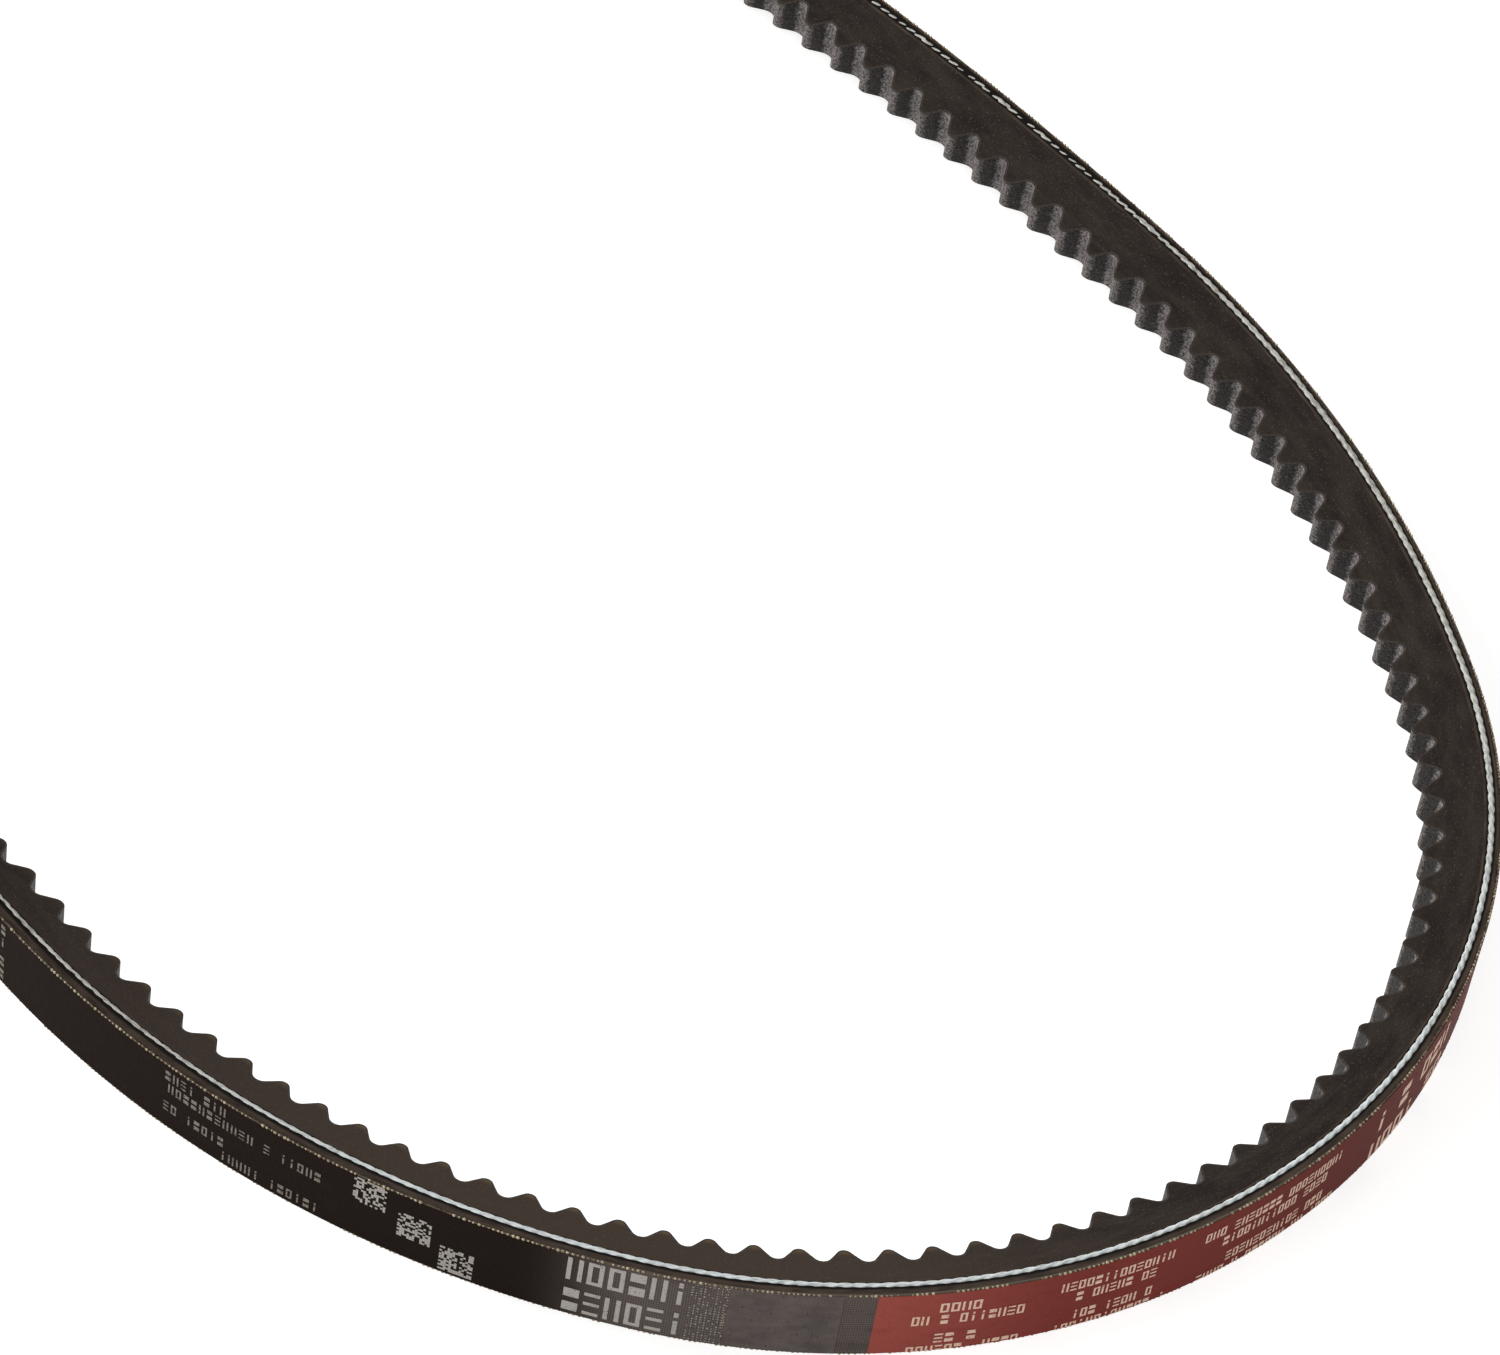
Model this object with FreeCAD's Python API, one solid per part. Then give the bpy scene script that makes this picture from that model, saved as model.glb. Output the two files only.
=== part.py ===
"""Raw-edge cogged V belt, narrow section 5/8 in wide, 63 in round the back, lying on one raw side.

Millimetres, +Z up and along the belt's width. The belt lies as a relaxed oval loop: its long axis
is X, and the middle of the loop, on the surface that it lies on, is the origin. A place on the belt
is (run, depth, z): run goes round the back from the middle of the +Y side, clockwise seen from
above, and depth goes from the back towards the inside of the loop.
"""
import FreeCAD, Part
import math
import os

from FreeCAD import Vector

# ---- driving dimensions -------------------------------------------------------------------------
outside_length = 1600.2      # 63.0 in, round the back
top_width = 15.9             # 5/8 in, the width at the back
thickness = 13.5             # 17/32 in, back to cog tip
side_angle = 20.0            # each raw side leans in by half of the 40 degree wedge

# The relaxed loop: bends of one half, in order, as (radius of the back, angle). The other half is
# the same turned by 180 degrees. Each long side is a straight run between two slightly hollow
# stretches, which close the loop to its length.
bends = [(800.0, 9.0), (265.0, 27.0), (131.0, 112.0), (190.0, 40.0)]
straight_run = 60.0

cog_count = 190
cog_phase = 4.5              # run of the first cog's middle
notch_depth = 3.4            # cog tip to valley bottom
tip_radius = 1.5
valley_share = 0.21          # valley radius as a share of the pitch between the tips
facing_thickness = 0.4       # fabric moulded over the cogs

canvas_thickness = 0.5       # rubbered canvas ply on the back
cord_diameter = 1.1
cord_turns = 10
cord_depth = 2.2             # depth of the cord's middle
cord_margin = 0.97           # height of the first turn's middle, cut open by the lower raw side
cushion_thickness = 1.3      # gum under the cord, from the cord's middle down

film_thickness = 0.08        # transfer film of the red band
ink_thickness = 0.04

# The marks on the back, as (run at start, run at end) and (bottom, top).
red_band_span = (346.5, 547.8)
grey_band_span = (553.5, 572.6)
hatch_span = (573.0, 579.0)
size_mark_span = (579.4, 600.4)
size_mark_heights = (1.1, 6.9)
size_mark_glyphs = 6
code_spans = [(616.0, 622.2), (624.0, 630.2), (632.6, 638.8)]
code_floors = [0.8, 5.2, 9.3]
code_side = 6.2
fine_print_spans = [(645.0, 677.6), (718.5, 740.0)]
fine_print_heights = [(1.1, 3.3), (4.3, 6.5)]
legend_spans = [(415.0, 446.0), (454.0, 488.0), (493.5, 516.5), (521.5, 542.1)]
legend_heights = (2.3, 4.7)
under_legend_inset = 3.0     # the second line of each legend is shorter at both ends
row_pitch = 8.1              # the marks are printed twice, one row above the other
edge_margin = 0.2            # bare canvas left along both edges of the back

tan_side = math.tan(math.radians(side_angle))
cog_pitch = outside_length / cog_count


# ---- the path of the back -----------------------------------------------------------------------
def forward(heading):
    """Unit vector along the run."""
    return Vector(math.cos(heading), math.sin(heading), 0)


def inward(heading):
    """Unit vector from the back to the inside of the loop."""
    return Vector(math.sin(heading), -math.cos(heading), 0)


def leg_place(leg, along, depth):
    """Point this far along a leg, and the heading there. A leg of no radius is straight."""
    if leg["radius"] is None:
        heading = leg["heading"]
        point = leg["start"] + forward(heading) * along + inward(heading) * depth
        return point, heading
    heading = leg["heading"] - along / leg["radius"]
    centre = leg["start"] + inward(leg["heading"]) * leg["radius"]
    return centre - inward(heading) * (leg["radius"] - depth), heading


def make_legs():
    """Tangent legs of the whole loop, in order: radius, length, first run, heading and start."""
    bend_length = sum(radius * math.radians(angle) for radius, angle in bends)
    hollow_length = (outside_length / 2 - bend_length - straight_run) / 2
    hollow_turn = math.radians(180.0 - sum(angle for radius, angle in bends)) / 2
    straight = (None, straight_run / 2)
    hollow = (hollow_length / hollow_turn, hollow_length)
    half = [straight, hollow]
    half += [(radius, radius * math.radians(angle)) for radius, angle in bends]
    half += [hollow, straight]
    legs = []
    point, heading, run = Vector(0, 0, 0), 0.0, 0.0
    for radius, length in half + half:
        leg = dict(radius=radius, length=length, run=run, heading=heading, start=point)
        legs.append(leg)
        point, heading = leg_place(leg, length, 0.0)
        run += length
    middle = legs[len(half)]["start"] * 0.5
    for leg in legs:
        leg["start"] = leg["start"] - middle
    return legs


legs = make_legs()


def heading_at(run):
    """Leg that holds this run, distance along it, and heading."""
    run = run % outside_length
    held = [leg for leg in legs if leg["run"] <= run][-1]
    along = run - held["run"]
    return held, along, leg_place(held, along, 0.0)[1]


def place(run, depth):
    """Point on the ground plan at this run and depth."""
    leg, along, heading = heading_at(run)
    return leg_place(leg, along, depth)[0]


# ---- outlines and solids ------------------------------------------------------------------------
def loop_wire(depth):
    """Closed outline that keeps one depth all round."""
    edges = []
    for leg in legs:
        first, middle, last = [leg_place(leg, leg["length"] * share, depth)[0]
                               for share in (0.0, 0.5, 1.0)]
        if leg["radius"] is None:
            edges.append(Part.makeLine(first, last))
        else:
            edges.append(Part.Arc(first, middle, last).toShape())
    return Part.Wire(edges)


def cog_wire(skin):
    """Closed outline of all cogs, set back into the rubber by skin: round tips, round valleys and
    straight flanks that touch both."""
    tips, valleys = [], []
    for index in range(cog_count):
        run = cog_phase + index * cog_pitch
        tips.append(run)
        valleys.append(run + cog_pitch / 2)
    tip_centres = [place(run, thickness - tip_radius) for run in tips]
    valley_radii, valley_centres = [], []
    for index, run in enumerate(valleys):
        gap = tip_centres[index].distanceToPoint(tip_centres[(index + 1) % cog_count])
        radius = valley_share * gap
        valley_radii.append(radius)
        valley_centres.append(place(run, thickness - notch_depth + radius))

    def flank(tip, valley, valley_radius, forward):
        """Ends of the straight flank between a tip circle and a valley circle."""
        across = valley - tip
        along = across / across.Length
        square = Vector(-along.y, along.x, 0) if not forward else Vector(along.y, -along.x, 0)
        lean = math.acos((tip_radius + valley_radius) / across.Length)
        normal = along * math.cos(lean) + square * math.sin(lean)
        return tip + normal * (tip_radius - skin), valley - normal * (valley_radius + skin)

    edges = []
    for index in range(cog_count):
        before = index - 1
        tip, valley = tip_centres[index], valley_centres[index]
        falling = flank(tip, valley, valley_radii[index], True)
        rising = flank(tip, valley_centres[before], valley_radii[before], False)
        following = flank(tip_centres[(index + 1) % cog_count], valley, valley_radii[index], False)
        crown = tip + inward(heading_at(tips[index])[2]) * (tip_radius - skin)
        floor = valley - inward(heading_at(valleys[index])[2]) * (valley_radii[index] + skin)
        edges.append(Part.Arc(rising[0], crown, falling[0]).toShape())
        edges.append(Part.makeLine(*falling))
        edges.append(Part.Arc(falling[1], floor, following[1]).toShape())
        edges.append(Part.makeLine(following[1], following[0]))
    return Part.Wire(edges)


def wall(outer, inner):
    """Upright ring between two closed outlines, over the whole width."""
    face = Part.makeFace([outer, inner], "Part::FaceMakerBullseye")
    return face.extrude(Vector(0, 0, top_width))


def carried(face, leg, start=0.0, stop=1.0):
    """Solid left by an upright face carried along part of a leg."""
    length = leg["length"] * (stop - start)
    if leg["radius"] is None:
        return face.extrude(forward(leg["heading"]) * length)
    centre = leg["start"] + inward(leg["heading"]) * leg["radius"]
    return face.revolve(centre, Vector(0, 0, 1), -math.degrees(length / leg["radius"]))


def section(profile, leg, start=0.0):
    """Upright face of a (depth, z) profile, part way along a leg."""
    base, heading = leg_place(leg, leg["length"] * start, 0.0)
    points = [base + inward(heading) * depth + Vector(0, 0, z) for depth, z in profile]
    return Part.Face(Part.makePolygon(points + points[:1]))


def cord_section(leg, z):
    """Round face of the cord at height z, at the start of a leg."""
    middle, heading = leg_place(leg, 0.0, cord_depth)
    circle = Part.Circle(middle + Vector(0, 0, z), forward(heading), cord_diameter / 2)
    return Part.Face(Part.Wire(circle.toShape()))


def wedge_profile(top, bottom):
    """Corners of the belt's wedge section between two depths."""
    return [(top, top * tan_side), (bottom, bottom * tan_side),
            (bottom, top_width - bottom * tan_side), (top, top_width - top * tan_side)]


def joined(solids):
    """One solid made of touching solids."""
    if len(solids) == 1:
        return solids[0]
    return solids[0].multiFuse(solids[1:]).removeSplitter()


def patch(span, depths, heights):
    """Curved block on the path: from run to run, depth to depth and height to height."""
    (first, last), (d0, d1), (z0, z1) = span, depths, heights
    profile = [(d0, z0), (d1, z0), (d1, z1), (d0, z1)]
    pieces = []
    for leg in legs:
        start = max(first, leg["run"])
        stop = min(last, leg["run"] + leg["length"])
        if stop - start > 1e-6:
            shares = [(run - leg["run"]) / leg["length"] for run in (start, stop)]
            pieces.append(carried(section(profile, leg, shares[0]), leg, *shares))
    return joined(pieces)


def make_layer(top, bottom, cord_heights=()):
    """Layer of the belt between two depths, with room for the cord's turns."""
    pieces = []
    for leg in legs:
        face = section(wedge_profile(top, bottom), leg)
        if cord_heights:
            face = face.cut([cord_section(leg, z) for z in cord_heights]).Faces[0]
        pieces.append(carried(face, leg))
    return joined(pieces)


def make_cord_turn(z):
    """One turn of the cord at height z. A raw side that reaches it cuts it open."""
    pieces = []
    for leg in legs:
        inside = section(wedge_profile(0.0, thickness), leg)
        face = cord_section(leg, z).common(inside).Faces[0]
        pieces.append(carried(face, leg))
    return joined(pieces)


# ---- the belt, from the back inwards ------------------------------------------------------------
parts = {}


def build_body():
    """Canvas, gum, cord, rubber and facing."""
    turn_pitch = (top_width - 2 * cord_margin) / (cord_turns - 1)
    heights = [cord_margin + index * turn_pitch for index in range(cord_turns)]
    for index, z in enumerate(heights):
        parts["tensile_cord_turn_%02d" % (index + 1)] = make_cord_turn(z)

    cushion_depth = cord_depth + cushion_thickness
    parts["back_canvas"] = make_layer(0.0, canvas_thickness)
    parts["overcord_rubber"] = make_layer(canvas_thickness, cord_depth, heights)
    parts["cushion_rubber"] = make_layer(cord_depth, cushion_depth, heights)

    spare = 1.0              # the wedge runs past the cogs, whose outline then bounds them
    wedge = make_layer(0.0, thickness + spare)
    rubber_line = cog_wire(facing_thickness)
    parts["compression_rubber"] = wall(loop_wire(cushion_depth), rubber_line).common(wedge)
    parts["cog_facing_fabric"] = wall(rubber_line, cog_wire(0.0)).common(wedge)


# ---- the marks on the back ----------------------------------------------------------------------
def print_line(span, dash, gap, heights, depths):
    """A line of generic print: dashes of one length with gaps between."""
    blocks = []
    run = span[0]
    while run + dash <= span[1] + 1e-6:
        blocks.append(patch((run, run + dash), depths, heights))
        run += dash + gap
    return blocks


def raised(heights, rise):
    """The same heights, moved up and kept off the edges of the back."""
    low, high = heights
    return max(low + rise, edge_margin), min(high + rise, top_width - edge_margin)


def build_marks():
    """Red band, its legends, and the print beside it, all generic."""
    film = (-film_thickness, 0.0)
    on_film = (-film_thickness - ink_thickness, -film_thickness)
    on_canvas = (-ink_thickness, 0.0)
    whole = (edge_margin, top_width - edge_margin)
    parts["red_label_band"] = patch(red_band_span, film, whole)
    parts["grey_label_band"] = patch(grey_band_span, film, whole)
    parts["hatch_patch"] = patch(hatch_span, on_canvas, whole)
    for index, (span, floor) in enumerate(zip(code_spans, code_floors)):
        name = "code_square_%d" % (index + 1)
        parts[name] = patch(span, on_canvas, (floor, floor + code_side))

    glyph_pitch = (size_mark_span[1] - size_mark_span[0]) / size_mark_glyphs
    under = legend_heights[0] - 3.4
    for row, name in enumerate(("lower", "upper")):
        rise = row * row_pitch
        legend, fine = [], []
        for first, last in legend_spans:
            legend += print_line((first, last), 2.1, 0.6, raised(legend_heights, rise), on_film)
            inset = (first + under_legend_inset, last - under_legend_inset)
            heights = raised((under, under + 2.4), rise)
            legend += print_line(inset, 2.1, 0.6, heights, on_film)
        marks = print_line(size_mark_span, glyph_pitch - 0.8, 0.8,
                           raised(size_mark_heights, rise), on_canvas)
        for span in fine_print_spans:
            for heights in fine_print_heights:
                fine += print_line(span, 1.7, 0.7, raised(heights, rise), on_canvas)
        parts["legend_row_%s" % name] = Part.makeCompound(legend)
        parts["size_mark_row_%s" % name] = Part.makeCompound(marks)
        parts["fine_print_row_%s" % name] = Part.makeCompound(fine)


build_body()
build_marks()
os.makedirs("parts", exist_ok=True)
for name, shape in parts.items():
    shape.exportStep("parts/%s.step" % name)
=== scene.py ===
import math
import random

import bmesh
import bpy
from mathutils import Matrix, Vector


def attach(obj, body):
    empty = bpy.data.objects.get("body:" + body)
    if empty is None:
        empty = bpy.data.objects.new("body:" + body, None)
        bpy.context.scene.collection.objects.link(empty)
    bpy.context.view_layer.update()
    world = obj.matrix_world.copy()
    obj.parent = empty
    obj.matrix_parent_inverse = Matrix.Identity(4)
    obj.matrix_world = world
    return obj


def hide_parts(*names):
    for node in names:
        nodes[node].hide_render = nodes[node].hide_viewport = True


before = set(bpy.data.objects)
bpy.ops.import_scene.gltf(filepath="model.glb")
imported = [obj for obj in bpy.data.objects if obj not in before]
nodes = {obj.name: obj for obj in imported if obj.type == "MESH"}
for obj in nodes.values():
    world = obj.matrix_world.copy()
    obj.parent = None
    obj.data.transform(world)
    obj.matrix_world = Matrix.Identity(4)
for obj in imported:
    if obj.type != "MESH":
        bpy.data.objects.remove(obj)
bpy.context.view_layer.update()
print("frame loaded:", len(nodes), "nodes")

mm = 0.001

# A place on the belt is laid out flat first: x is the run round the back, clockwise from above,
# y points out of the loop, so depth is -y, and z is the height. Geometry Nodes bend it on the
# path.
loop = {
    "outsideLength": 1600.2 * mm,
    "width": 15.9 * mm,
    "thickness": 13.5 * mm,
    "sideSlope": math.tan(math.radians(20)),
    "bends": [(800, 9), (265, 27), (131, 112), (190, 40)],    # radius of the back in mm, degrees
    "straightRun": 60 * mm,
    "pathStep": 1.0 * mm,
}
beltLength, beltWidth, slope = loop["outsideLength"], loop["width"], loop["sideSlope"]


def forwardOf(heading):
    return Vector((math.cos(heading), math.sin(heading), 0))


def inwardOf(heading):
    return Vector((math.sin(heading), -math.cos(heading), 0))


def legPlace(leg, along):
    if leg["radius"] is None:
        return leg["start"] + forwardOf(leg["heading"]) * along, leg["heading"]
    heading = leg["heading"] - along / leg["radius"]
    centre = leg["start"] + inwardOf(leg["heading"]) * leg["radius"]
    return centre - inwardOf(heading) * leg["radius"], heading


# tangent legs of the whole loop, the second half the first one turned by 180 degrees
def makeLegs():
    bends = [(radius * mm, math.radians(angle)) for radius, angle in loop["bends"]]
    bendLength = sum(radius * angle for radius, angle in bends)
    hollowLength = (beltLength / 2 - bendLength - loop["straightRun"]) / 2
    hollowTurn = (math.pi - sum(angle for radius, angle in bends)) / 2
    straight = (None, loop["straightRun"] / 2)
    hollow = (hollowLength / hollowTurn, hollowLength)
    half = [straight, hollow] + [(r, r * a) for r, a in bends] + [hollow, straight]
    legs = []
    point, heading, run = Vector((0, 0, 0)), 0.0, 0.0
    for radius, length in half + half:
        leg = {"radius": radius, "length": length, "run": run, "heading": heading, "start": point}
        legs.append(leg)
        point, heading = legPlace(leg, length)
        run += length
    middle = legs[len(half)]["start"] * 0.5
    for leg in legs:
        leg["start"] = leg["start"] - middle
    return legs


def makePath():
    legs = makeLegs()
    count = round(beltLength / loop["pathStep"])
    curve = bpy.data.curves.new("beltPath", "CURVE")
    curve.dimensions = "3D"
    spline = curve.splines.new("POLY")
    spline.points.add(count - 1)
    for index in range(count):
        run = beltLength * index / count
        leg = [held for held in legs if held["run"] <= run + 1e-9][-1]
        spline.points[index].co = (*legPlace(leg, run - leg["run"])[0], 1)
    spline.use_cyclic_u = True
    path = bpy.data.objects.new("beltPath", curve)
    bpy.context.scene.collection.objects.link(path)
    return path


beltPath = makePath()
print("path of the back laid out")


# sRGB hex code to a linear colour
def linear(code):
    parts = [int(code[at:at + 2], 16) / 255 for at in (1, 3, 5)]
    return tuple(v / 12.92 if v < 0.04045 else ((v + 0.055) / 1.055) ** 2.4 for v in parts) + (1,)


def addNode(tree, kind, settings=None, links=None):
    node = tree.nodes.new(kind)
    for key, value in (settings or {}).items():
        setattr(node, key, value)
    for key, value in (links or {}).items():
        if isinstance(value, bpy.types.NodeSocket):
            tree.links.new(value, node.inputs[key])
        else:
            node.inputs[key].default_value = value
    return node


# depths of the layers from the back; between the canvas and the calm depth they follow the cord,
# which lies off centre by the drift, most where the path heads this way
layers = {"canvas": 0.5 * mm, "cord": 2.2 * mm, "cordHold": 0.6 * mm, "cushion": 1.3 * mm,
          "calm": 9.0 * mm, "drift": 1.0 * mm, "driftHeading": math.radians(20)}
mergeDistance = 0.004 * mm

wrapSizes = {
    "Path": ("NodeSocketObject", None),
    "Belt Length": ("NodeSocketFloat", beltLength),
    "Belt Width": ("NodeSocketFloat", beltWidth),
    "Side Slope": ("NodeSocketFloat", slope),
    "Cord Depth": ("NodeSocketFloat", layers["cord"]),
    "Cord Hold": ("NodeSocketFloat", layers["cordHold"]),    # this far each side all move as one
    "Canvas Depth": ("NodeSocketFloat", layers["canvas"]),
    "Calm Depth": ("NodeSocketFloat", layers["calm"]),
    "Cord Drift": ("NodeSocketFloat", layers["drift"]),
    "Drift Heading": ("NodeSocketVector", tuple(forwardOf(layers["driftHeading"]))),
    "Material": ("NodeSocketMaterial", None),
}


def newTree(name, sizes):
    tree = bpy.data.node_groups.new(name, "GeometryNodeTree")
    tree.interface.new_socket("Geometry", in_out="INPUT", socket_type="NodeSocketGeometry")
    for label, (kind, value) in sizes.items():
        socket = tree.interface.new_socket(label, in_out="INPUT", socket_type=kind)
        if value is not None:
            socket.default_value = value
    tree.interface.new_socket("Geometry", in_out="OUTPUT", socket_type="NodeSocketGeometry")
    return tree, tree.nodes.new("NodeGroupInput").outputs


# keeps the flat place for the materials, moves the layers with the cord, and bends all on the path
def makeWrapTree():
    tree, given = newTree("wrapOnBelt", wrapSizes)
    position = addNode(tree, "GeometryNodeInputPosition").outputs[0]
    noted = addNode(tree, "GeometryNodeStoreNamedAttribute",
                    {"data_type": "FLOAT_VECTOR", "domain": "CORNER"},
                    {"Geometry": given["Geometry"], "Name": "beltPlace", "Value": position})
    flat = addNode(tree, "ShaderNodeSeparateXYZ", links={0: position}).outputs
    run = addNode(tree, "ShaderNodeMath", {"operation": "FLOORED_MODULO"},
                  {0: flat[0], 1: given["Belt Length"]}).outputs[0]
    pathShape = addNode(tree, "GeometryNodeObjectInfo", links={"Object": given["Path"]})
    spot = addNode(tree, "GeometryNodeSampleCurve", {"mode": "LENGTH"},
                   {"Curves": pathShape.outputs["Geometry"], "Length": run})
    ahead = addNode(tree, "ShaderNodeVectorMath", {"operation": "NORMALIZE"},
                    {0: spot.outputs["Tangent"]}).outputs[0]
    inside = addNode(tree, "ShaderNodeVectorMath", {"operation": "CROSS_PRODUCT"},
                     {0: ahead, 1: (0, 0, 1)}).outputs[0]
    depth = addNode(tree, "ShaderNodeMath", {"operation": "MULTIPLY"},
                    {0: flat[1], 1: -1.0}).outputs[0]

    lean = addNode(tree, "ShaderNodeVectorMath", {"operation": "DOT_PRODUCT"},
                   {0: ahead, 1: given["Drift Heading"]}).outputs["Value"]
    drift = addNode(tree, "ShaderNodeMath", {"operation": "MULTIPLY"},
                    {0: lean, 1: given["Cord Drift"]}).outputs[0]
    above = addNode(tree, "ShaderNodeMath", {"operation": "SUBTRACT"},
                    {0: given["Cord Depth"], 1: given["Cord Hold"]}).outputs[0]
    below = addNode(tree, "ShaderNodeMath", {"operation": "ADD"},
                    {0: given["Cord Depth"], 1: given["Cord Hold"]}).outputs[0]
    rising = addNode(tree, "ShaderNodeMapRange", links={
        "Value": depth, "From Min": given["Canvas Depth"], "From Max": above}).outputs[0]
    falling = addNode(tree, "ShaderNodeMapRange", links={
        "Value": depth, "From Min": given["Calm Depth"], "From Max": below}).outputs[0]
    share = addNode(tree, "ShaderNodeMath", {"operation": "MINIMUM"},
                    {0: rising, 1: falling}).outputs[0]
    shift = addNode(tree, "ShaderNodeMath", {"operation": "MULTIPLY"},
                    {0: drift, 1: share}).outputs[0]
    newDepth = addNode(tree, "ShaderNodeMath", {"operation": "SUBTRACT"},
                       {0: depth, 1: shift}).outputs[0]

    # the raw sides stay flat: height is scaled about the middle to the new depth's half width
    middle = addNode(tree, "ShaderNodeMath", {"operation": "MULTIPLY"},
                     {0: given["Belt Width"], 1: 0.5}).outputs[0]
    halves = []
    for level in (depth, newDepth):
        narrowing = addNode(tree, "ShaderNodeMath", {"operation": "MULTIPLY"},
                            {0: level, 1: given["Side Slope"]}).outputs[0]
        halves.append(addNode(tree, "ShaderNodeMath", {"operation": "SUBTRACT"},
                              {0: middle, 1: narrowing}).outputs[0])
    ratio = addNode(tree, "ShaderNodeMath", {"operation": "DIVIDE"},
                    {0: halves[1], 1: halves[0]}).outputs[0]
    fromMiddle = addNode(tree, "ShaderNodeMath", {"operation": "SUBTRACT"},
                         {0: flat[2], 1: middle}).outputs[0]
    height = addNode(tree, "ShaderNodeMath", {"operation": "MULTIPLY_ADD"},
                     {0: fromMiddle, 1: ratio, 2: middle}).outputs[0]

    sideways = addNode(tree, "ShaderNodeVectorMath", {"operation": "SCALE"},
                       {0: inside, "Scale": newDepth}).outputs[0]
    upwards = addNode(tree, "ShaderNodeCombineXYZ", links={2: height}).outputs[0]
    onPlan = addNode(tree, "ShaderNodeVectorMath", {"operation": "ADD"},
                     {0: spot.outputs["Position"], 1: sideways}).outputs[0]
    place = addNode(tree, "ShaderNodeVectorMath", {"operation": "ADD"},
                    {0: onPlan, 1: upwards}).outputs[0]
    bent = addNode(tree, "GeometryNodeSetPosition",
                   links={"Geometry": noted.outputs[0], "Position": place})
    closed = addNode(tree, "GeometryNodeMergeByDistance",
                     links={"Geometry": bent.outputs[0], "Distance": mergeDistance})
    smooth = addNode(tree, "GeometryNodeSetShadeSmooth", links={"Geometry": closed.outputs[0]})
    real = addNode(tree, "GeometryNodeRealizeInstances", links={"Geometry": smooth.outputs[0]})
    painted = addNode(tree, "GeometryNodeSetMaterial",
                      links={"Geometry": real.outputs[0], "Material": given["Material"]})
    addNode(tree, "NodeGroupOutput", links={0: painted.outputs[0]})
    return tree


wrapTree = makeWrapTree()


# hands a flat geometry on to the wrap and ends the tree
def wrapAndEnd(tree, given, geometry):
    links = {label: given[label] for label in wrapSizes}
    links["Geometry"] = geometry
    wrapped = addNode(tree, "GeometryNodeGroup", {"node_tree": wrapTree}, links)
    real = addNode(tree, "GeometryNodeRealizeInstances", links={"Geometry": wrapped.outputs[0]})
    painted = addNode(tree, "GeometryNodeSetMaterial",
                      links={"Geometry": real.outputs[0], "Material": given["Material"]})
    addNode(tree, "NodeGroupOutput", links={0: painted.outputs[0]})
    return tree


# one flat cell repeated along the run, joined end to end
def makeRepeatTree():
    sizes = {"Count": ("NodeSocketInt", 1), "Pitch": ("NodeSocketFloat", 1 * mm),
             "First Run": ("NodeSocketFloat", 0.0)}
    tree, given = newTree("repeatOnBelt", sizes | wrapSizes)
    start = addNode(tree, "ShaderNodeCombineXYZ", links={0: given["First Run"]}).outputs[0]
    step = addNode(tree, "ShaderNodeCombineXYZ", links={0: given["Pitch"]}).outputs[0]
    spots = addNode(tree, "GeometryNodeMeshLine", links={
        "Count": given["Count"], "Start Location": start, "Offset": step})
    copies = addNode(tree, "GeometryNodeInstanceOnPoints",
                     links={"Points": spots.outputs[0], "Instance": given["Geometry"]})
    real = addNode(tree, "GeometryNodeRealizeInstances", links={"Geometry": copies.outputs[0]})
    joined = addNode(tree, "GeometryNodeMergeByDistance",
                     links={"Geometry": real.outputs[0], "Distance": mergeDistance})
    return wrapAndEnd(tree, given, joined.outputs[0])


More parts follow.
